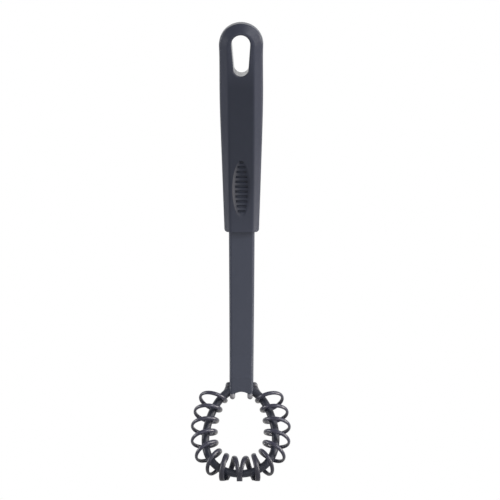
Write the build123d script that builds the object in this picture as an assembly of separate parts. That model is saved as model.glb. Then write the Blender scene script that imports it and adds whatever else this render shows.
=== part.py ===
"""Nylon dough whisk: a bowed handle with a hang hole and a ribbed thumb rest, a flat shank
whose tang sits in the handle, an open egg-shaped ring sprung into the shank's foot, and two
mirrored spirals of round strand threaded on the ring, one from each leg."""
from build123d import *
from bisect import bisect
from math import asin, ceil, cos, floor, hypot, pi, radians, sin, sqrt
import os

os.makedirs("parts", exist_ok=True)

# Millimetres. The origin is the centre of the hang hole's large arc, on the handle's front
# face. +Z is up with the whisk hanging, -Y is the thumb side, and +X is to the right of it.
# A drop is a distance below the origin.

# Handle: the arc of its crown has its centre a little above the hang hole's
handle_width = 28.6
handle_waist_width = 27.75
handle_waist_drop = 44.35
handle_end_width = 22.4
handle_drop = 120.75
crown_rise = 0.65
handle_thickness = 13.4
flat_width = 17.2
flat_end_width = 14.8
band_depth = 3.3
band_blend = 3.0
shoulder_blend = 2.0
rear_blend = 4.6
end_corner = 2.6
section_count = 6

# Bow of the handle and shank: one arc that starts above the shank's straight lower length
bow_radius = 700.0
straight_length = 41.4

# Hang hole
hang_radius = 6.1
hang_small_radius = 4.85
hang_length = 16.15
hang_rim_blend = 0.9

# Thumb rest, and its grooves: they sit a little high in it, and take shares of its height and
# of its width there
thumb_drop = 92.85
thumb_half_width = 5.9
thumb_half_height = 18.6
thumb_depth = 1.4
groove_count = 11
groove_radius = 0.75
groove_depth = 0.6
groove_rise = 1.5
groove_reach_share = 0.86
groove_length_share = 0.70

# Tang and its socket
tang_width = 13.0
tang_thickness = 4.6
tang_length = 46.0
fit_clearance = 0.05
tang_tip_clearance = 0.6

# Shank
neck_width = 16.75
foot_width = 15.45
foot_flare_width = 15.7
foot_flare_height = 7.0
foot_arch_rise = 1.0
shank_drop = 225.75
shank_thickness = 6.4
shank_edge_blend = 2.0
foot_thickness = 8.8
foot_height = 10.0
foot_taper_height = 14.0

# Toes and ears of the foot
toe_diameter = 3.5
toe_spacing = 11.4
toe_reach = 5.0
toe_forward = 1.4
toe_root = 4.0
ear_diameter = 3.6
ear_rise = 5.9
ear_back = 2.6
ear_inset = 2.4
ear_length = 3.0
ear_sweep_angle = 30.0
ear_dip_angle = 48.0

# Head: the plane of the ring leans forward below its pivot in the foot
head_tilt = 24.0
head_pivot_rise = 2.5

# Ring: an egg whose shape follows two shares of its half width
ring_diameter = 4.5
ring_half_width = 22.6
ring_half_height = 30.9
ring_top_rise = 3.3
ring_egg_share = -0.244
ring_square_share = 0.022
ring_leg_gap = 3.0
ring_arc_count = 14

# Spirals: their own, wider egg, a round coil about it that starts some way round from the
# egg's top, and the last inner tip's place before the middle of the ring as a share of the pitch
strand_diameter = 2.4
coil_radius = 7.9
coil_start_run = 18.95
coil_half_width = 25.35
coil_half_height = 31.5
coil_top_rise = 5.95
coil_egg_share = -0.111
coil_square_share = 0.068
coil_turns = 7
last_tip_share = 0.40
root_lead_share = 0.17
last_turn_share = 0.36
meeting_offset = 0.9
flat_depth = 0.5

# Overrun of all cuts, steps along a curve, how far past the bottom the coils' line is tabled
# as a share of half its way round, and how steep an edge of the shank is to be rounded
overrun = 5.0
curve_steps = 720
table_reach_share = 1.2
steep_share = 0.8

bow_start_drop = shank_drop - straight_length
bow_y = -sqrt((bow_radius - handle_thickness / 2) ** 2 - bow_start_drop**2)
shank_y = bow_y + bow_radius


def blend(value, knots, results):
    """Value read off a table by straight lines."""
    index = min(max(bisect(knots, value), 1), len(knots) - 1)
    share = (value - knots[index - 1]) / (knots[index] - knots[index - 1])
    return results[index - 1] + share * (results[index] - results[index - 1])


def bow_plane(drop, forward):
    """Plane on the bow, moved towards the thumb side: its normal faces that side, its Y is up."""
    reach = bow_radius - forward
    lean = asin((bow_start_drop - drop) / reach)
    origin = (0, bow_y + reach * cos(lean), -drop)
    return Plane(origin=origin, x_dir=(1, 0, 0), z_dir=(0, -cos(lean), -sin(lean)))


def bowed_slab(thickness, width, top, bottom):
    """Slab of one thickness between two heights, bowed above the bow's start."""
    hoop = Circle(bow_radius + thickness / 2) - Circle(bow_radius - thickness / 2)
    band = extrude(Plane.YZ * Pos(bow_y, -bow_start_drop) * hoop, width / 2, both=True)
    low = max(bottom, -bow_start_drop)
    height = top - low
    slab = band & Pos(0, shank_y - height / 2, low + height / 2) * Box(
        width, height + 2 * thickness, height
    )
    if bottom < -bow_start_drop:
        straight = -bow_start_drop - bottom
        slab += Pos(0, shank_y, bottom + straight / 2) * Box(width, thickness, straight)
    return slab


def front_prism(face):
    """A face drawn in the front view, extruded through the whole depth."""
    return Pos(0, shank_y, 0) * extrude(Plane.XZ * face, bow_radius / 2, both=True)


def handle_half(drop):
    """Half width of the handle at a drop."""
    drops = [-crown_rise, handle_waist_drop, handle_drop]
    widths = [handle_width, handle_waist_width, handle_end_width]
    return blend(drop, drops, widths) / 2


def flat_half(drop):
    """Half width of the handle's front flat at a drop."""
    return blend(drop, [-crown_rise, handle_drop], [flat_width, flat_end_width]) / 2


def handle_section(drop, start=-1):
    """Section square to the bow, from a share of its half width to its right side."""
    deep = handle_thickness / 2
    half = handle_half(drop)
    flat = flat_half(drop)
    corners = [(flat, -deep), (half, band_depth - deep), (half, deep)]
    others = [(-x, y) for x, y in reversed(corners)]
    face = make_face(Polyline(*corners, *others, close=True))
    face = fillet(face.vertices().sort_by(Axis.Y)[-2:], rear_blend)
    face = fillet(face.vertices().sort_by(Axis.Y)[2:4], shoulder_blend)
    face = fillet(face.vertices().sort_by(Axis.Y)[:2], band_blend)
    if start == 0:
        face &= Pos(half, 0) * Rectangle(2 * half, 2 * handle_thickness)
    front = bow_plane(drop, 0)
    return Plane(origin=front.origin, x_dir=(1, 0, 0), z_dir=front.y_dir) * face


def end_corners():
    """What the round corners of the handle's end leave out of its front outline."""
    waist = handle_waist_width / 2
    end = handle_end_width / 2
    face = make_face(
        Polyline(
            (waist, -handle_waist_drop),
            (end, -handle_drop),
            (-end, -handle_drop),
            (-waist, -handle_waist_drop),
            close=True,
        )
    )
    return face - fillet(face.vertices().sort_by(Axis.Y)[:2], end_corner)


def hang_hole():
    """Teardrop prism square to the handle: a large arc, a small one below, and tangents."""
    rise_share = (hang_radius - hang_small_radius) / hang_length
    side_share = sqrt(1 - rise_share**2)
    large = (hang_radius * side_share, -hang_radius * rise_share)
    small = (hang_small_radius * side_share, -hang_length - hang_small_radius * rise_share)
    outline = Curve() + [
        ThreePointArc((-large[0], large[1]), (0, hang_radius), large),
        Line(large, small),
        ThreePointArc(small, (0, -hang_length - hang_small_radius), (-small[0], small[1])),
        Line((-small[0], small[1]), (-large[0], large[1])),
    ]
    face = bow_plane(0, handle_thickness / 2) * make_face(outline)
    return extrude(face, 2 * handle_thickness, both=True)


def thumb_rest():
    """Shallow scoop, deepest in the middle, and grooves with round bottoms across it."""
    scoop_radius = (thumb_half_width**2 + thumb_depth**2) / (2 * thumb_depth)
    axis_height = scoop_radius - thumb_depth
    front_radius = bow_radius - handle_thickness / 2
    long_radius = 1 / (2 * thumb_depth / thumb_half_height**2 + 1 / front_radius)
    end = thumb_half_height + overrun
    end_radius = scoop_radius - long_radius + sqrt(long_radius**2 - end**2)
    profile = make_face(
        Curve()
        + [
            ThreePointArc((end_radius, -end), (scoop_radius, 0), (end_radius, end)),
            Polyline((end_radius, end), (0, end), (0, -end), (end_radius, -end)),
        ]
    )
    scoop = Pos(0, 0, axis_height) * revolve(profile, Axis.Y)
    for index in range(groove_count):
        rise_share = (2 * index / (groove_count - 1) - 1) * groove_reach_share
        rise = rise_share * thumb_half_height + groove_rise
        depth = thumb_depth * (1 - (rise / thumb_half_height) ** 2)
        length = 2 * sqrt(depth * (2 * axis_height + depth)) * groove_length_share
        groove = Rotation(0, 90, 0) * Cylinder(groove_radius, length)
        groove += Pos(0, 0, overrun / 2) * Box(length, 2 * groove_radius, overrun)
        height = groove_radius - groove_depth - depth
        scoop += Pos(0, rise, height) * groove
    return bow_plane(thumb_drop, handle_thickness / 2) * scoop


def hang_rims(body):
    """Edges of the hang hole on the handle's front and back."""
    plane = bow_plane(0, handle_thickness / 2)
    rims = []
    for edge in body.edges():
        place = plane.to_local_coords(edge.center())
        beside = abs(place.X) < hang_radius + fit_clearance
        reach = abs(place.Y + hang_length / 2) - hang_length / 2
        along = abs(edge.tangent_at(0.5).dot(plane.z_dir)) > steep_share
        if beside and reach < hang_radius + fit_clearance and not along:
            rims.append(edge)
    return rims


def make_handle():
    """Bowed grip with bevelled front edges, rounded back, hang hole, thumb rest and socket."""
    step = (handle_drop + overrun + crown_rise) / section_count
    drops = [index * step - crown_rise for index in range(section_count + 1)]
    body = loft([handle_section(drop) for drop in drops])
    front = bow_plane(-crown_rise, 0)
    body += revolve(handle_section(-crown_rise, 0), Axis(front.origin, front.z_dir), 180)
    below = 2 * overrun
    body -= Pos(0, shank_y, -handle_drop - below / 2) * Box(
        handle_width, 2 * handle_thickness, below
    )
    body -= front_prism(end_corners())
    body -= hang_hole()
    body = fillet(hang_rims(body), hang_rim_blend)
    body -= thumb_rest()
    socket_top = tang_length + tang_tip_clearance - handle_drop
    body -= bowed_slab(
        tang_thickness + 2 * fit_clearance,
        tang_width + 2 * fit_clearance,
        socket_top,
        -handle_drop - overrun,
    )
    return body


def biarc(start, start_way, end, end_way):
    """Two arcs that run from one point and direction to another, meeting smoothly."""
    chord = end - start
    ways = start_way + end_way
    bend = 2 * (1 - start_way.dot(end_way))
    reach = (sqrt(chord.dot(ways) ** 2 + bend * chord.dot(chord)) - chord.dot(ways)) / bend
    first = start + start_way * reach
    last = end - end_way * reach
    middle = (first + last) / 2
    return [
        Edge.make_tangent_arc(start, start_way, middle),
        Edge.make_tangent_arc(middle, (last - first).normalized(), end),
    ]


def smooth_path(points, ways):
    """Arcs through a row of points with the directions given at them."""
    edges = []
    for index in range(len(points) - 1):
        edges += biarc(points[index], ways[index], points[index + 1], ways[index + 1])
    return edges


def tube(edges, diameter):
    """Round rod along joined edges."""
    path = Wire(edges)
    start = Plane(origin=path @ 0, z_dir=path % 0)
    return sweep(start * Circle(diameter / 2), path=path)


head_plane = Plane(
    origin=(0, shank_y, head_pivot_rise - shank_drop),
    x_dir=(1, 0, 0),
    z_dir=(0, -cos(radians(head_tilt)), sin(radians(head_tilt))),
)


def egg(angle, half_width, half_height, top_rise, egg_share, square_share):
    """Point of an egg in the head plane; the angle runs from its top over the +X side."""
    swell = 1 + egg_share * cos(angle) + square_share * cos(2 * angle)
    return half_width * sin(angle) * swell, top_rise - half_height * (1 - cos(angle))


def ring_point(angle):
    """Point of the ring's centre line, in the head plane."""
    return egg(
        angle, ring_half_width, ring_half_height, ring_top_rise, ring_egg_share, ring_square_share
    )


def coil_point(angle):
    """Point of the line that the coils turn about, in the head plane."""
    return egg(
        angle, coil_half_width, coil_half_height, coil_top_rise, coil_egg_share, coil_square_share
    )


def ring_path(leg_gap):
    """Arcs of the ring from one leg's end round to the other's."""
    swell = 1 + ring_egg_share + ring_square_share
    start = asin(leg_gap / 2 / (ring_half_width * swell))
    step = (2 * pi - 2 * start) / ring_arc_count
    nudge = step / curve_steps
    points = []
    ways = []
    for index in range(ring_arc_count + 1):
        angle = start + index * step
        here = Vector(*ring_point(angle), 0)
        ahead = Vector(*ring_point(angle + nudge), 0)
        behind = Vector(*ring_point(angle - nudge), 0)
        points.append(head_plane.from_local_coords(here))
        way = head_plane.from_local_coords(ahead) - head_plane.from_local_coords(behind)
        ways.append(way.normalized())
    return smooth_path(points, ways)


def coil_table():
    """Angles round the coil's line and its length up to each, from the top to past the bottom."""
    step = table_reach_share * pi / curve_steps
    angles = [index * step for index in range(curve_steps + 1)]
    lengths = [0.0]
    for index in range(curve_steps):
        here = coil_point(angles[index])
        ahead = coil_point(angles[index + 1])
        lengths.append(lengths[-1] + hypot(ahead[0] - here[0], ahead[1] - here[1]))
    return angles, lengths


coil_angles, coil_lengths = coil_table()
coil_middle = blend(pi, coil_angles, coil_lengths)
coil_pitch = (coil_middle - coil_start_run) / (coil_turns + root_lead_share + last_tip_share)


def strand_point(turn):
    """Point of the right coil's centre line; whole turns are its inner tips, the last at 0."""
    length = coil_middle + coil_pitch * (turn - last_tip_share)
    angle = blend(length, coil_lengths, coil_angles)
    nudge = pi / curve_steps
    here = coil_point(angle)
    ahead = coil_point(angle + nudge)
    behind = coil_point(angle - nudge)
    run = hypot(ahead[0] - behind[0], ahead[1] - behind[1])
    outward = ((behind[1] - ahead[1]) / run, (ahead[0] - behind[0]) / run)
    across = -coil_radius * cos(2 * pi * turn)
    place = (here[0] + outward[0] * across, here[1] + outward[1] * across)
    return head_plane.from_local_coords(Vector(*place, coil_radius * sin(2 * pi * turn)))


def strand_way(turn):
    """Direction of the right coil's centre line."""
    nudge = 1 / curve_steps
    return (strand_point(turn + nudge) - strand_point(turn - nudge)).normalized()


def flat_height():
    """Height of the flats: above the lowest side of the last whole loop by their depth."""
    steps = range(curve_steps + 1)
    heights = [strand_point(-1 + step / curve_steps).Z for step in steps]
    return min(heights) - strand_diameter / 2 + flat_depth


def ear_way():
    """Direction of the right ear, out of the shank's side, back and down."""
    sweep_angle = radians(ear_sweep_angle)
    dip = radians(ear_dip_angle)
    return Vector(cos(dip) * cos(sweep_angle), cos(dip) * sin(sweep_angle), -sin(dip))


def ear_end():
    """Centre of the right ear's end face, where the spiral is rooted."""
    base = Vector(foot_width / 2 - ear_inset, shank_y + ear_back, ear_rise - shank_drop)
    return base + ear_way() * (ear_inset + ear_length)


def spiral_path():
    """Edges of the right spiral from its ear to its end on the flat beside the mirror plane."""
    root = ear_end()
    root_run = root + ear_way() * strand_diameter
    first = -coil_turns - root_lead_share
    turns = [first]
    turns += [quarter / 4 for quarter in range(ceil(first * 4), floor(last_turn_share * 4) + 1)]
    turns.append(last_turn_share)
    points = [root_run] + [strand_point(turn) for turn in turns]
    ways = [ear_way()] + [strand_way(turn) for turn in turns]
    last = points[-1]
    down_height = flat_height() + strand_diameter
    slope = ways[-1].Y / ways[-1].Z
    foot = Vector(meeting_offset, last.Y + slope * (down_height - last.Z) / 2, down_height)
    points.append(foot)
    ways.append(Vector(0, 0, -1))
    end = Vector(foot.X, foot.Y, flat_height() - strand_diameter)
    edges = [Edge.make_line(root, root_run)]
    edges += smooth_path(points, ways)
    edges.append(Edge.make_line(foot, end))
    return edges


def least_gap(edges, diameter):
    """Least clear gap between two stretches of a tube over half a turn apart."""
    path = Wire(edges)
    count = curve_steps
    points = [path @ (index / count) for index in range(count + 1)]
    step = path.length / count
    apart = ceil(pi * coil_radius / step)
    gap = path.length
    for first in range(count + 1 - apart):
        for second in range(first + apart, count + 1):
            gap = min(gap, (points[first] - points[second]).length)
    return gap - diameter


def ring_gap(edges, ring_edges):
    """Least clear gap between the spiral and the ring."""
    path = Wire(edges)
    ring = Wire(ring_edges)
    points = [path @ (index / curve_steps) for index in range(curve_steps + 1)]
    return min(ring.distance_to(point) for point in points) - (strand_diameter + ring_diameter) / 2


def make_spiral(edges):
    """Right spiral: one tube, cut off square at the flats and at the mirror plane."""
    size = 4 * coil_half_height
    room = Pos(size / 2, shank_y, flat_height() + size / 2) * Box(size, size, size)
    return tube(edges, strand_diameter) & room


def shank_outline():
    """Front outline of the shank: a slow taper, a flare at the foot and an arch between the toes."""
    neck = neck_width / 2
    foot = foot_width / 2
    flare = foot_flare_width / 2
    flare_height = foot_flare_height - shank_drop
    arch = (toe_spacing - toe_diameter) / 2
    right = [(neck, -handle_drop), (foot, flare_height), (flare, -shank_drop), (arch, -shank_drop)]
    left = [(-x, y) for x, y in reversed(right)]
    arc = ThreePointArc(right[-1], (0, foot_arch_rise - shank_drop), left[0])
    return make_face(Curve() + [Polyline(*right), arc, Polyline(*left), Line(left[-1], right[0])])


def foot_block():
    """Thicker end of the shank, tapered into it, that holds the ring's legs."""
    thin = shank_thickness / 2
    thick = foot_thickness / 2
    shoulder = foot_height - shank_drop
    top = shoulder + foot_taper_height
    side = Polyline(
        (shank_y - thin, top),
        (shank_y - thick, shoulder),
        (shank_y - thick, -shank_drop),
        (shank_y + thick, -shank_drop),
        (shank_y + thick, shoulder),
        (shank_y + thin, top),
        close=True,
    )
    return extrude(Plane.YZ * make_face(side), neck_width, both=True)


def toe(side):
    """Round-ended toe below the foot, in line with the head plane."""
    radius = toe_diameter / 2
    straight = toe_root + toe_reach - radius
    peg = Cylinder(radius, straight, align=(Align.CENTER, Align.CENTER, Align.MAX))
    peg += Pos(0, 0, -straight) * Sphere(radius)
    root = Vector(side * toe_spacing / 2, toe_root - head_pivot_rise, toe_forward)
    place = head_plane.from_local_coords(root)
    return Plane(origin=place, x_dir=(1, 0, 0), z_dir=head_plane.y_dir) * peg


def ear(side):
    """Short round ear on the foot's side, its flat end square to the spiral's root."""
    way = ear_way()
    end = ear_end()
    radius = ear_diameter / 2
    stub = Cylinder(radius, ear_inset + ear_length, align=(Align.CENTER, Align.CENTER, Align.MAX))
    stub += Pos(0, 0, -ear_inset - ear_length) * Sphere(radius)
    right = Plane(origin=end, z_dir=way) * stub
    return right if side > 0 else mirror(right, about=Plane.YZ)


def make_shank(socket):
    """Flat bar with a tang above, and a foot with sockets, toes and ears below."""
    bar = bowed_slab(shank_thickness, neck_width, -handle_drop, -shank_drop)
    bar += foot_block()
    bar &= front_prism(shank_outline())
    long_edges = [edge for edge in bar.edges() if abs(edge.tangent_at(0.5).Z) > steep_share]
    bar = fillet(long_edges, shank_edge_blend)
    bar += bowed_slab(tang_thickness, tang_width, tang_length - handle_drop, -handle_drop - overrun)
    for side in (-1, 1):
        bar += toe(side)
        bar += ear(side)
    return bar - socket


ring_edges = ring_path(ring_leg_gap)
ring_core = tube(ring_edges, ring_diameter)
socket = tube(ring_path(ring_leg_gap - 2 * fit_clearance), ring_diameter + 2 * fit_clearance)
spiral_edges = spiral_path()
spiral_right = make_spiral(spiral_edges)
spiral_left = mirror(spiral_right, about=Plane.YZ)

parts = {
    "handle": make_handle(),
    "shank": make_shank(socket),
    "ring_core": ring_core,
    "spiral_left": spiral_left,
    "spiral_right": spiral_right,
}
for name, shape in parts.items():
    export_step(shape, f"parts/{name}.step")

print("least gap of a spiral to itself, mm:", round(least_gap(spiral_edges, strand_diameter), 2))
print("least gap of a spiral to the ring, mm:", round(ring_gap(spiral_edges, ring_edges), 2))
print("height of the flats, mm:", round(flat_height(), 2))
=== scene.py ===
"""Looks of the nylon dough whisk: the strands' moulded form, materials, camera, floor and light."""
from bisect import bisect
from math import asin, cos, exp, hypot, pi, radians, sin

import bmesh
import bpy
from mathutils import Matrix, Vector


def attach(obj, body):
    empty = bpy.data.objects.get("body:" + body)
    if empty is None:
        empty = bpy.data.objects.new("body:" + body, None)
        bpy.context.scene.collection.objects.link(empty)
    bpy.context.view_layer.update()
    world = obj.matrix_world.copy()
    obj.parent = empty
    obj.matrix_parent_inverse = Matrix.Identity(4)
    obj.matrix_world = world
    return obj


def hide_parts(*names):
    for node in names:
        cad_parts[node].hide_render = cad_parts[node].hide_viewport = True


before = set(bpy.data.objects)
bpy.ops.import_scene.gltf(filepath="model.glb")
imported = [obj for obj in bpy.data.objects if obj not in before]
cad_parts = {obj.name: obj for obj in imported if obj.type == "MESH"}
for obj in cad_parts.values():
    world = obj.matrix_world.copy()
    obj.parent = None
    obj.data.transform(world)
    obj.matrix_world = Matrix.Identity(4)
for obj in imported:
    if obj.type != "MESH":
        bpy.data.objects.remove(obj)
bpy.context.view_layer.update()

MM = 0.001

# Camera: the photograph's view, from just right of the front, with a long lens
PIXELS = 500
PIXEL_SIZE = 0.6494 * MM
CENTRE_PIXEL = 250.0
AXIS_PIXEL = (241.2254, 250.9586)
AIM = Vector((0, 19.82 * MM, -132.95 * MM))
CAMERA_DISTANCE = 3.0
CAMERA_AZIMUTH = radians(2.02)
CAMERA_ELEVATION = radians(0.27)
CAMERA_ROLL = radians(-0.163)
SENSOR = 36.0
CAMERA_REACH = 20.0

# Studio: soft lamps at their azimuth, elevation, power in watts and colour
LAMP_DISTANCE = 1.6
LAMP_SIZE = 0.8
WHITE = (1.0, 1.0, 1.0)
WARM = (1.0, 0.95, 0.88)
LAMPS = (
    ("key", 45, 35, 19.0, WHITE),
    ("right", 80, 12, 32.0, WARM),
    ("right_low", 52, 0, 2.5, WARM),
    ("right_rear", 115, 20, 2.7, WARM),
    ("left", -80, 10, 15.5, WHITE),
    ("left_rear", -115, 20, 4.0, WHITE),
    ("front", 0, 2, 3.8, WHITE),
    ("rear", 180, 33, 1.2, WHITE),
)
WORLD_STRENGTH = 0.2
FLOOR_HEIGHT = -330 * MM
FLOOR_SIZE = 1.1
FLOOR_COLOR = (0.86, 0.86, 0.86, 1)
FLOOR_ROUGHNESS = 0.9

# Head of the whisk, in millimetres: the solids' own sizes, but for the ring's height, the flats
# and the place where the strands meet, which are the moulded form's
SHANK_Y = 31.66
SHANK_DROP = 225.75
HEAD_TILT = radians(24)
HEAD_PIVOT_RISE = 2.5
RING_EGG = (22.6, 31.1, 3.3, -0.244, 0.022)
RING_LEG_GAP = 3.0
COIL_EGG = (25.35, 31.5, 5.95, -0.111, 0.068)
COIL_RADIUS = 7.9
COIL_PITCH = 9.22
FIRST_TURN = -7.17
LAST_TURN = 0.36
LAST_TIP_SHARE = 0.40
FLAT_HEIGHT = -281.55
MEETING_OFFSET = 0.55

# Handle, in millimetres: where along it and across it its flats get painted shade, darker where
# they lean down from the light, and what share of that is left at its lower end
FLAT_SHADE_FROM = (-8, -28)
FLAT_SHADE_TO = (-88, -120)
FLAT_SHADE_ACROSS = (9.2, 7.6)
FLAT_SHADE_END_SHARE = 0.2

# Thumb rest: how far its left wall faces right where it gets a painted highlight, as if lit from
# the right, a height in millimetres between it and the hang hole, and the fades across and along it
REST_WALL_TURN = (0.04, 0.36)
REST_TOP = -70
REST_SIDE_FADE = 0.5
REST_TOP_FADE = 1

# Hang hole, in millimetres: its large arc's centre is the origin, and it leans with the handle.
# The gloss of its wall fades out between two shares of its rim.
HANG_LEAN = radians(15.42)
HANG_RADIUS = 6.1
HANG_SMALL_RADIUS = 4.85
HANG_LENGTH = 16.15
HANG_RIM = 0.9
HANG_RIM_SHARES = (0.1, 0.7)

# The moulded strand, in millimetres: an oval, wider along the ring than across it. Its inner
# tips lean up the ring and reach further in than a plain coil's, up to its last turn, whose
# own rows give a turn, a shift up the ring and a shift outwards.
STRAND_WIDE = 2.66
STRAND_DEEP = 1.85
TIP_LEAN = 0.61
TIP_REACH = 0.25
LAST_ROWS = (
    (-1, 0.80, -0.75),
    (-0.75, 0.08, 0),
    (-0.5, 0.48, 0.41),
    (-0.25, 1.37, 0),
    (0, 1.95, -0.74),
)
ROW_SPREAD = 0.16
LAST_ROWS_FROM = -1.4
LAST_ROWS_TO = -1.2
LAST_SWELL = 0.30
LAST_SWELL_FROM = (-1.35, -1.1)
LAST_SWELL_TO = (0.05, 0.33)

# The strand's root is a round-ended lug beside the foot, and a dark web of painted shade fills
# the loop that is cut flat at the bottom. The inner tips and the lug get a painted highlight.
LUG = Vector((8.4, 33.32, -220.6))
LUG_WAY = Vector((-0.06, 0.3, -0.95))
LUG_DIAMETER = 4.2
ROOT_STEPS = 20
# Painted highlight: how it spreads round the strands' inner tips, and how strong it is on the lug
TIP_HIGHLIGHT_SPREAD = 0.075
LUG_HIGHLIGHT = 0.5
WEB_TURN = -0.5
WEB_REACH = 0.17
WEB_INNER_SHARE = 1.1
WEB_THICKNESS = 1.7
WEB_STEPS = 14

# The ring's rod, in millimetres: its legs are thicker and stand closer together
RING_DIAMETER = 5.09
RING_LEG_DIAMETER = 6.1
RING_LEG_SHIFT = 1.6
RING_LEG_REACH = 16.0

# Fineness of the meshes
SIDES = 24
STEPS_PER_TURN = 60
LINE_STEPS = 720
LINE_REACH = 1.2
RING_STEPS = 240
END_STEPS = 6
SHARP_ANGLE = radians(50)

# Materials: light and dark base colour, roughness, specular level and strength of the grain
NYLONS = {
    "handle_nylon": ((0.026, 0.029, 0.044), (0.020, 0.023, 0.037), 0.35, 0.20, 0.5),
    "shank_nylon": ((0.030, 0.034, 0.050), (0.024, 0.028, 0.043), 0.35, 0.20, 0.5),
    "strand_nylon": ((0.018, 0.018, 0.036), (0.012, 0.012, 0.026), 0.28, 0.43, 0.3),
    "ring_nylon": ((0.020, 0.022, 0.033), (0.015, 0.017, 0.026), 0.38, 0.20, 0.3),
    # Painted shade: a dark, dull material for the web that stands for the shade between the lowest
    # loop's strands
    "shade_web_nylon": ((0.014, 0.015, 0.021), (0.010, 0.011, 0.016), 0.80, 0.0, 0.3),
}
MOTTLE = {"Scale": 55.0, "Detail": 4.0, "Roughness": 0.6}
GRAIN = {"Scale": 2600.0, "Detail": 3.0, "Roughness": 0.65}
GRAIN_HEIGHT = 0.12 * MM
GLOSS_SPREAD = 0.05

# What is painted over them, and the heights in millimetres that it lies below, with its fade
# Painted shade: the handle's flats darker where they lean down from the light
FLAT_SHADE_PAINT = {"Base_Color": (0.011, 0.0135, 0.023, 1)}
# Painted highlight: the thumb rest's left wall paler where it faces the light from the right
REST_HIGHLIGHT_PAINT = {"Base_Color": (0.045, 0.046, 0.055, 1)}
HOLE_PAINT = {"Roughness": 0.12}
# Painted highlight: the toes of the shank's foot pale as if they caught bright light, with their
# own roughness
TOE_HIGHLIGHT_PAINT = {"Base_Color": (0.17, 0.17, 0.185, 1), "Roughness": 0.5}
TOE_HIGHLIGHT_TOP = (-226.55, 0.6)
# Painted shade: the strands darker towards the bottom of the head, where the light from above is
# blocked, with their own roughness
LOWEST_SHADE_PAINT = {"Base_Color": (0.004, 0.004, 0.012, 1), "Roughness": 0.38}
LOWEST_SHADE_TOP = (-272, 12)
# Painted highlight: the strands' inner tips and lug paler, as if they caught bright light
STRAND_HIGHLIGHT_PAINT = {"Base_Color": (0.062, 0.062, 0.068, 1)}


def egg(angle, shape):
    """Point of an egg in the head plane; the angle runs from its top over the +X side."""
    half_width, half_height, top_rise, egg_share, square_share = shape
    swell = 1 + egg_share * cos(angle) + square_share * cos(2 * angle)
    return half_width * sin(angle) * swell, top_rise - half_height * (1 - cos(angle))


def head_point(across, along, forward):
    """Place in the model of a point of the head plane, moved towards the front."""
    y = SHANK_Y - forward * cos(HEAD_TILT) + along * sin(HEAD_TILT)
    z = HEAD_PIVOT_RISE - SHANK_DROP + forward * sin(HEAD_TILT) + along * cos(HEAD_TILT)
    return Vector((across, y, z))


def line_table(shape):
    """Angles round an egg and its length up to each, from the top to past the bottom."""
    angles = [LINE_REACH * pi * index / LINE_STEPS for index in range(LINE_STEPS + 1)]
    points = [egg(angle, shape) for angle in angles]
    lengths = [0.0]
    for here, ahead in zip(points, points[1:]):
        lengths.append(lengths[-1] + hypot(ahead[0] - here[0], ahead[1] - here[1]))
    return angles, lengths


def between(value, knots, results):
    """Value read off a table by straight lines."""
    index = min(max(bisect(knots, value), 1), len(knots) - 1)
    share = (value - knots[index - 1]) / (knots[index] - knots[index - 1])
    return results[index - 1] + share * (results[index] - results[index - 1])


coil_angles, coil_lengths = line_table(COIL_EGG)


def smooth(value, low, high):
    """Smooth step from 0 at the low value to 1 at the high one."""
    share = min(max((value - low) / (high - low), 0), 1)
    return share * share * (3 - 2 * share)


def settle(turn):
    """How far the moulded strand lies up the ring and outwards of the plain coil at a turn."""
    plain = 1 - smooth(turn, LAST_ROWS_FROM, LAST_ROWS_TO)
    swing = cos(2 * pi * turn)
    up = TIP_LEAN * swing * plain
    out = -TIP_REACH * max(swing, 0) ** 2 * plain
    for place, row_up, row_out in LAST_ROWS:
        weight = exp(-(((turn - place) / ROW_SPREAD) ** 2))
        up += row_up * weight
        out += row_out * weight
    return up, out


def thickness(turn):
    """How many times its usual size the strand is at a turn: its last one is thicker."""
    return 1 + LAST_SWELL * smooth(turn, *LAST_SWELL_FROM) * (1 - smooth(turn, *LAST_SWELL_TO))


def strand_station(turn):
    """Centre of the right strand, and the direction out from the coil's line, at a turn."""
    up, out = settle(turn)
    length = between(pi, coil_angles, coil_lengths) + COIL_PITCH * (turn - LAST_TIP_SHARE) - up
    angle = between(length, coil_lengths, coil_angles)
    nudge = pi / LINE_STEPS
    here, ahead, behind = (egg(angle + step, COIL_EGG) for step in (0, nudge, -nudge))
    run = hypot(ahead[0] - behind[0], ahead[1] - behind[1])
    outward = ((behind[1] - ahead[1]) / run, (ahead[0] - behind[0]) / run)
    across = out - COIL_RADIUS * cos(2 * pi * turn)
    forward = COIL_RADIUS * sin(2 * pi * turn)
    line = head_point(*here, 0)
    place = head_point(here[0] + outward[0] * across, here[1] + outward[1] * across, forward)
    return place, (place - line).normalized()


def curve_between(start, start_way, end, end_way, steps):
    """Points of a smooth curve between two points, without the first of them."""
    reach = (end - start).length
    points = []
    for index in range(1, steps + 1):
        share = index / steps
        square, cube = share**2, share**3
        points.append(
            start * (2 * cube - 3 * square + 1)
            + start_way * reach * (cube - 2 * square + share)
            + end * (3 * square - 2 * cube)
            + end_way * reach * (cube - square)
        )
    return points


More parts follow.
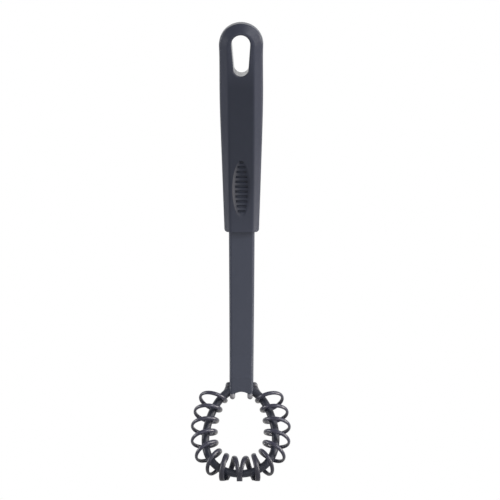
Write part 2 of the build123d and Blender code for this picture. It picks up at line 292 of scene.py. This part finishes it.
def add_tube(mesh, stations):
    """Adds a closed tube: a station is its centre, side direction, two diameters and painted
    highlight.
    """
    rings = []
    layer = mesh.verts.layers.float.new("highlight")
    for index, (centre, side, wide, deep, highlight) in enumerate(stations):
        before = stations[max(index - 1, 0)][0]
        after = stations[min(index + 1, len(stations) - 1)][0]
        way = (after - before).normalized()
        out = (side - way * side.dot(way)).normalized()
        cross = way.cross(out)
        ring = []
        for step in range(SIDES):
            turn = 2 * pi * step / SIDES
            offset = out * cos(turn) * deep / 2 + cross * sin(turn) * wide / 2
            ring.append(mesh.verts.new((centre + offset) * MM))
            ring[-1][layer] = highlight
        rings.append(ring)
    for ring, following in zip(rings, rings[1:]):
        for step in range(SIDES):
            after = (step + 1) % SIDES
            mesh.faces.new((ring[step], ring[after], following[after], following[step]))
    mesh.faces.new(list(reversed(rings[0])))
    mesh.faces.new(rings[-1])


def finish_piece(name, mesh, materials, replaced):
    """Makes an object of a mesh, gives it its materials, and sets it in place of a CAD node."""
    bmesh.ops.recalc_face_normals(mesh, faces=mesh.faces)
    data = bpy.data.meshes.new(name)
    mesh.to_mesh(data)
    mesh.free()
    data.shade_smooth()
    data.set_sharp_from_angle(angle=SHARP_ANGLE)
    piece = bpy.data.objects.new(name, data)
    bpy.context.scene.collection.objects.link(piece)
    for material in materials:
        data.materials.append(material)
    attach(piece, "root")
    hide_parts(replaced)
    return piece


def round_end(centre, way, side, diameter):
    """Stations of a half ball that closes a tube's start at a centre."""
    radius = diameter / 2
    stations = []
    for index in range(1, END_STEPS):
        turn = pi / 2 * index / END_STEPS
        width = diameter * sin(turn)
        stations.append((centre - way * radius * cos(turn), side, width, width, LUG_HIGHLIGHT))
    return stations


def strand_stations():
    """Stations of the right strand, from its lug beside the foot to its end on the flat."""
    count = round((LAST_TURN - FIRST_TURN) * STEPS_PER_TURN)
    turns = [FIRST_TURN + (LAST_TURN - FIRST_TURN) * index / count for index in range(count + 1)]
    coil = [strand_station(turn) for turn in turns]
    first, out = coil[0]
    way = (coil[1][0] - first).normalized()
    lug_way = LUG_WAY.normalized()
    stations = round_end(LUG, lug_way, out, LUG_DIAMETER)
    stations.append((LUG, out, LUG_DIAMETER, LUG_DIAMETER, LUG_HIGHLIGHT))
    for index, place in enumerate(curve_between(LUG, lug_way, first, way, ROOT_STEPS)[:-1]):
        share = smooth((index + 1) / ROOT_STEPS, 0, 1)
        wide = LUG_DIAMETER + (STRAND_WIDE - LUG_DIAMETER) * share
        deep = LUG_DIAMETER + (STRAND_DEEP - LUG_DIAMETER) * share
        stations.append((place, out, wide, deep, LUG_HIGHLIGHT * (1 - share)))
    for turn, (place, side) in zip(turns, coil):
        size = thickness(turn)
        highlight = exp(-(((turn - round(turn)) / TIP_HIGHLIGHT_SPREAD) ** 2))
        stations.append((place, side, STRAND_WIDE * size, STRAND_DEEP * size, highlight))

    last, out = coil[-1]
    way = (last - coil[-2][0]).normalized()
    down = FLAT_HEIGHT + STRAND_DEEP
    foot = Vector((MEETING_OFFSET, last.y + way.y / way.z * (down - last.z) / 2, down))
    straight = Vector((0, 0, -1))
    tail = curve_between(last, way, foot, straight, ROOT_STEPS) + [foot + straight * STRAND_WIDE]
    wide, deep = STRAND_WIDE * thickness(LAST_TURN), STRAND_DEEP * thickness(LAST_TURN)
    return stations + [(place, out, wide, deep, 0) for place in tail]


def add_shade_web(mesh):
    """Adds the web that fills the lowest loop, a thick dark sheet of the second material, as
    painted shade.
    """
    rows = []
    before = set(mesh.faces)
    for index in range(1, WEB_STEPS + 1):
        reach = WEB_REACH * index / WEB_STEPS
        front, back = (strand_station(WEB_TURN + side * reach)[0] for side in (-1, 1))
        reach *= WEB_INNER_SHARE
        inner = (strand_station(WEB_TURN - reach)[0] + strand_station(WEB_TURN + reach)[0]) / 2
        rise = (inner - (front + back) / 2).normalized()
        square = (back - front).cross(rise).normalized() * WEB_THICKNESS / 2
        spots = [front, (front + back) / 2, back]
        rows.append(
            [[mesh.verts.new((spot + square * side) * MM) for spot in spots] for side in (1, -1)]
        )
    for row, following in zip(rows, rows[1:]):
        for side in (0, 1):
            for spot in (0, 1):
                here, there = row[side], following[side]
                mesh.faces.new((here[spot], here[spot + 1], there[spot + 1], there[spot]))
        for spot in (0, 2):
            mesh.faces.new((row[0][spot], following[0][spot], following[1][spot], row[1][spot]))
    for row in (rows[0], rows[-1]):
        for spot in (0, 1):
            mesh.faces.new((row[0][spot], row[0][spot + 1], row[1][spot + 1], row[1][spot]))
    for face in mesh.faces:
        if face not in before:
            face.material_index = 1


def cut(mesh, point, normal):
    """Cuts a closed mesh by a plane, drops what lies on the normal's side and closes it."""
    geometry = mesh.verts[:] + mesh.edges[:] + mesh.faces[:]
    bmesh.ops.bisect_plane(mesh, geom=geometry, plane_co=point, plane_no=normal, clear_outer=True)
    rim = [edge for edge in mesh.edges if edge.is_boundary]
    bmesh.ops.holes_fill(mesh, edges=rim)


def make_spirals(materials):
    """Both strands, the left one the mirror image of the right one."""
    for name, side in (("right", 1), ("left", -1)):
        mesh = bmesh.new()
        add_tube(mesh, strand_stations())
        add_shade_web(mesh)
        cut(mesh, Vector((0, 0, FLAT_HEIGHT * MM)), Vector((0, 0, -1)))
        cut(mesh, Vector((0, 0, 0)), Vector((-1, 0, 0)))
        for vertex in mesh.verts:
            vertex.co.x *= side
        finish_piece(f"strand_{name}", mesh, materials, f"spiral_{name}")


def make_ring(material):
    """Ring rod, thicker towards its two legs, which stand closer together than a plain egg's."""
    swell = 1 + RING_EGG[3] + RING_EGG[4]
    start = asin(RING_LEG_GAP / 2 / (RING_EGG[0] * swell))
    stations = []
    for index in range(RING_STEPS + 1):
        angle = start + (2 * pi - 2 * start) * index / RING_STEPS
        across, along = egg(angle, RING_EGG)
        share = max(0, 1 - (RING_EGG[2] - along) / RING_LEG_REACH) ** 2
        inward = -RING_LEG_SHIFT if across > 0 else RING_LEG_SHIFT
        place = head_point(across + inward * share, along - RING_LEG_SHIFT * share, 0)
        diameter = RING_DIAMETER + (RING_LEG_DIAMETER - RING_DIAMETER) * share
        forward = head_point(0, 0, 1) - head_point(0, 0, 0)
        stations.append((place, forward, diameter, diameter, 0))
    mesh = bmesh.new()
    add_tube(mesh, stations)
    finish_piece("ring_rod", mesh, [material], "ring_core")


def principled(name):
    """New material and its shader."""
    material = bpy.data.materials.new(name)
    material.use_nodes = True
    return material, material.node_tree.nodes["Principled BSDF"]


def node(tree, kind, **values):
    """Adds a node, with its inputs set by name and its properties by attribute."""
    made = tree.nodes.new(kind)
    for key, value in values.items():
        if key in made.inputs:
            made.inputs[key].default_value = value
        else:
            setattr(made, key, value)
    return made


def reckon(tree, operation, first, second):
    """Output of a math node on two values, each an output of another node or a number."""
    made = node(tree, "ShaderNodeMath", operation=operation)
    for socket, value in zip(made.inputs, (first, second)):
        if isinstance(value, (int, float)):
            socket.default_value = value
        else:
            tree.links.new(value, socket)
    return made.outputs["Value"]


def ramp(tree, value, low, high, at_low, at_high):
    """Output of a value's range turned into another, held at its ends."""
    made = node(tree, "ShaderNodeMapRange")
    names = ("From Min", "From Max", "To Min", "To Max")
    for name, number in zip(names, (low, high, at_low, at_high)):
        made.inputs[name].default_value = number
    tree.links.new(value, made.inputs["Value"])
    return made.outputs["Result"]


def object_place(tree):
    """Output with the place on the surface, in metres in the whisk's own frame."""
    return node(tree, "ShaderNodeTexCoord").outputs["Object"]


def hole_mask(tree):
    """1 on the wall of the hang hole and on its rim, 0 on the rest of the handle."""
    turned = node(tree, "ShaderNodeMapping", Rotation=(-HANG_LEAN, 0, 0))
    tree.links.new(object_place(tree), turned.inputs["Vector"])
    axes = node(tree, "ShaderNodeSeparateXYZ")
    tree.links.new(turned.outputs["Vector"], axes.inputs["Vector"])
    along = reckon(tree, "MINIMUM", axes.outputs["Z"], 0.0)
    along = reckon(tree, "MAXIMUM", along, -HANG_LENGTH * MM)
    past = reckon(tree, "SUBTRACT", axes.outputs["Z"], along)
    squares = [reckon(tree, "MULTIPLY", value, value) for value in (axes.outputs["X"], past)]
    reach = reckon(tree, "SQRT", reckon(tree, "ADD", *squares), 0.0)
    radius = ramp(tree, along, -HANG_LENGTH * MM, 0, HANG_SMALL_RADIUS * MM, HANG_RADIUS * MM)
    past = reckon(tree, "SUBTRACT", reach, radius)
    return ramp(tree, past, *(share * HANG_RIM * MM for share in HANG_RIM_SHARES), 1, 0)


def flat_shade_mask(tree):
    """Painted shade: 1 along the middle of the handle's flats, 0 at its ends and on its bevels."""
    axes = node(tree, "ShaderNodeSeparateXYZ")
    tree.links.new(object_place(tree), axes.inputs["Vector"])
    across = reckon(tree, "ABSOLUTE", axes.outputs["X"], 0.0)
    share = ramp(tree, across, FLAT_SHADE_ACROSS[1] * MM, FLAT_SHADE_ACROSS[0] * MM, 1, 0)
    above = ramp(tree, axes.outputs["Z"], FLAT_SHADE_FROM[1] * MM, FLAT_SHADE_FROM[0] * MM, 1, 0)
    below = ramp(tree, axes.outputs["Z"], FLAT_SHADE_TO[1] * MM, FLAT_SHADE_TO[0] * MM, FLAT_SHADE_END_SHARE, 1)
    return reckon(tree, "MULTIPLY", share, reckon(tree, "MULTIPLY", above, below))


def rest_highlight_mask(tree):
    """Painted highlight: 1 on the thumb rest's left wall and the left ends of its grooves, 0
    elsewhere.
    """
    facing = node(tree, "ShaderNodeSeparateXYZ")
    geometry = node(tree, "ShaderNodeNewGeometry")
    tree.links.new(geometry.outputs["Normal"], facing.inputs["Vector"])
    turned = ramp(tree, facing.outputs["X"], *REST_WALL_TURN, 0, 1)
    axes = node(tree, "ShaderNodeSeparateXYZ")
    tree.links.new(object_place(tree), axes.inputs["Vector"])
    left = ramp(tree, axes.outputs["X"], -REST_SIDE_FADE * MM, REST_SIDE_FADE * MM, 1, 0)
    low, high = (REST_TOP - REST_TOP_FADE) * MM, (REST_TOP + REST_TOP_FADE) * MM
    below = ramp(tree, axes.outputs["Z"], low, high, 1, 0)
    return reckon(tree, "MULTIPLY", turned, reckon(tree, "MULTIPLY", left, below))


def low_mask(tree, height, fade):
    """1 below a height and 0 from the fade above it, both in millimetres."""
    axes = node(tree, "ShaderNodeSeparateXYZ")
    tree.links.new(object_place(tree), axes.inputs["Vector"])
    return ramp(tree, axes.outputs["Z"], height * MM, (height + fade) * MM, 1, 0)


def paint(material, mask, **values):
    """Mixes other values into the sockets of a material's shader where a mask is 1."""
    tree = material.node_tree
    shader = tree.nodes["Principled BSDF"]
    for name, value in values.items():
        socket = shader.inputs[name.replace("_", " ")]
        mixed = node(tree, "ShaderNodeMix", data_type="RGBA" if socket.type == "RGBA" else "FLOAT")
        tree.links.new(mask, mixed.inputs["Factor"])
        tree.links.new(socket.links[0].from_socket, mixed.inputs["A"])
        mixed.inputs["B"].default_value = value
        tree.links.new(mixed.outputs["Result"], socket)


def nylon(name, color, dark, roughness, specular, grain):
    """Moulded nylon: a fine spark-eroded grain, faint flow mottling and uneven gloss."""
    material, shader = principled(name)
    tree = material.node_tree
    link = tree.links.new
    place = node(tree, "ShaderNodeTexCoord")

    mottle = node(tree, "ShaderNodeTexNoise", **MOTTLE)
    link(place.outputs["Object"], mottle.inputs["Vector"])
    tint = node(tree, "ShaderNodeMix", data_type="RGBA")
    tint.inputs["A"].default_value = (*dark, 1)
    tint.inputs["B"].default_value = (*color, 1)
    link(mottle.outputs["Fac"], tint.inputs["Factor"])
    link(tint.outputs["Result"], shader.inputs["Base Color"])

    gloss = node(tree, "ShaderNodeMapRange")
    gloss.inputs["To Min"].default_value = roughness - GLOSS_SPREAD
    gloss.inputs["To Max"].default_value = roughness + GLOSS_SPREAD
    link(mottle.outputs["Fac"], gloss.inputs["Value"])
    link(gloss.outputs["Result"], shader.inputs["Roughness"])
    shader.inputs["Specular IOR Level"].default_value = specular

    fine = node(tree, "ShaderNodeTexNoise", **GRAIN)
    link(place.outputs["Object"], fine.inputs["Vector"])
    bump = node(tree, "ShaderNodeBump", Strength=grain, Distance=GRAIN_HEIGHT)
    link(fine.outputs["Fac"], bump.inputs["Height"])
    link(bump.outputs["Normal"], shader.inputs["Normal"])
    return material


def set_camera():
    """Puts the camera at the photograph's view."""
    data = bpy.data.cameras.new("camera")
    data.sensor_width = SENSOR
    data.lens = SENSOR * CAMERA_DISTANCE / (PIXELS * PIXEL_SIZE)
    data.clip_end = CAMERA_REACH
    data.shift_x = (CENTRE_PIXEL - AXIS_PIXEL[0]) / PIXELS
    data.shift_y = (AXIS_PIXEL[1] - CENTRE_PIXEL) / PIXELS
    camera = bpy.data.objects.new("camera", data)
    bpy.context.scene.collection.objects.link(camera)
    flat = cos(CAMERA_ELEVATION)
    back = Vector(
        (sin(CAMERA_AZIMUTH) * flat, -cos(CAMERA_AZIMUTH) * flat, sin(CAMERA_ELEVATION))
    )
    camera.location = AIM + back * CAMERA_DISTANCE
    turn = back.to_track_quat("Z", "Y").to_matrix().to_4x4()
    camera.matrix_world = (
        Matrix.Translation(camera.location) @ turn @ Matrix.Rotation(-CAMERA_ROLL, 4, "Z")
    )
    bpy.context.scene.camera = camera


def lamp(name, azimuth, elevation, power, color):
    """Square soft light that faces the whisk; azimuth 0 is in front of it and 90 at its right."""
    data = bpy.data.lights.new(name, "AREA")
    data.shape = "SQUARE"
    data.size = LAMP_SIZE
    data.energy = power
    data.color = color
    light = bpy.data.objects.new(name, data)
    bpy.context.scene.collection.objects.link(light)
    flat = cos(radians(elevation))
    back = Vector(
        (sin(radians(azimuth)) * flat, -cos(radians(azimuth)) * flat, sin(radians(elevation)))
    )
    light.location = AIM + back * LAMP_DISTANCE
    light.rotation_euler = back.to_track_quat("Z", "Y").to_euler()


def set_world():
    """Dim even light all round, and white where the camera, gloss or glass sees the background."""
    world = bpy.data.worlds.new("world")
    bpy.context.scene.world = world
    world.use_nodes = True
    tree = world.node_tree
    link = tree.links.new
    around = tree.nodes["Background"]
    around.inputs["Color"].default_value = (1, 1, 1, 1)
    around.inputs["Strength"].default_value = WORLD_STRENGTH
    seen = node(tree, "ShaderNodeBackground", Color=(1, 1, 1, 1), Strength=1.0)
    path = node(tree, "ShaderNodeLightPath")
    either = node(tree, "ShaderNodeMath", operation="MAXIMUM")
    any_of = node(tree, "ShaderNodeMath", operation="MAXIMUM")
    link(path.outputs["Is Camera Ray"], either.inputs[0])
    link(path.outputs["Is Glossy Ray"], either.inputs[1])
    link(either.outputs["Value"], any_of.inputs[0])
    link(path.outputs["Is Transmission Ray"], any_of.inputs[1])
    mixed = node(tree, "ShaderNodeMixShader")
    link(any_of.outputs["Value"], mixed.inputs["Fac"])
    link(around.outputs["Background"], mixed.inputs[1])
    link(seen.outputs["Background"], mixed.inputs[2])
    link(mixed.outputs["Shader"], tree.nodes["World Output"].inputs["Surface"])


def make_floor():
    """Plain pale floor, a little below the hanging whisk."""
    mesh = bmesh.new()
    bmesh.ops.create_grid(mesh, x_segments=1, y_segments=1, size=FLOOR_SIZE / 2)
    data = bpy.data.meshes.new("floor")
    mesh.to_mesh(data)
    mesh.free()
    floor = bpy.data.objects.new("floor", data)
    floor.location = (0, AIM.y, FLOOR_HEIGHT)
    bpy.context.scene.collection.objects.link(floor)
    material, shader = principled("floor")
    shader.inputs["Base Color"].default_value = FLOOR_COLOR
    shader.inputs["Roughness"].default_value = FLOOR_ROUGHNESS
    data.materials.append(material)


materials = {name: nylon(name, *values) for name, values in NYLONS.items()}
handle, shank = materials["handle_nylon"], materials["shank_nylon"]
strand = materials["strand_nylon"]
paint(handle, flat_shade_mask(handle.node_tree), **FLAT_SHADE_PAINT)
paint(handle, rest_highlight_mask(handle.node_tree), **REST_HIGHLIGHT_PAINT)
paint(handle, hole_mask(handle.node_tree), **HOLE_PAINT)
paint(shank, low_mask(shank.node_tree, *TOE_HIGHLIGHT_TOP), **TOE_HIGHLIGHT_PAINT)
paint(strand, low_mask(strand.node_tree, *LOWEST_SHADE_TOP), **LOWEST_SHADE_PAINT)
highlighted = node(strand.node_tree, "ShaderNodeAttribute", attribute_name="highlight")
paint(strand, highlighted.outputs["Fac"], **STRAND_HIGHLIGHT_PAINT)
for name, material in (("handle", handle), ("shank", shank)):
    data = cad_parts[name].data
    data.materials.clear()
    data.materials.append(material)
make_ring(materials["ring_nylon"])
make_spirals([strand, materials["shade_web_nylon"]])

set_camera()
for entry in LAMPS:
    lamp(*entry)
set_world()
make_floor()
bpy.context.scene.view_settings.view_transform = "Standard"
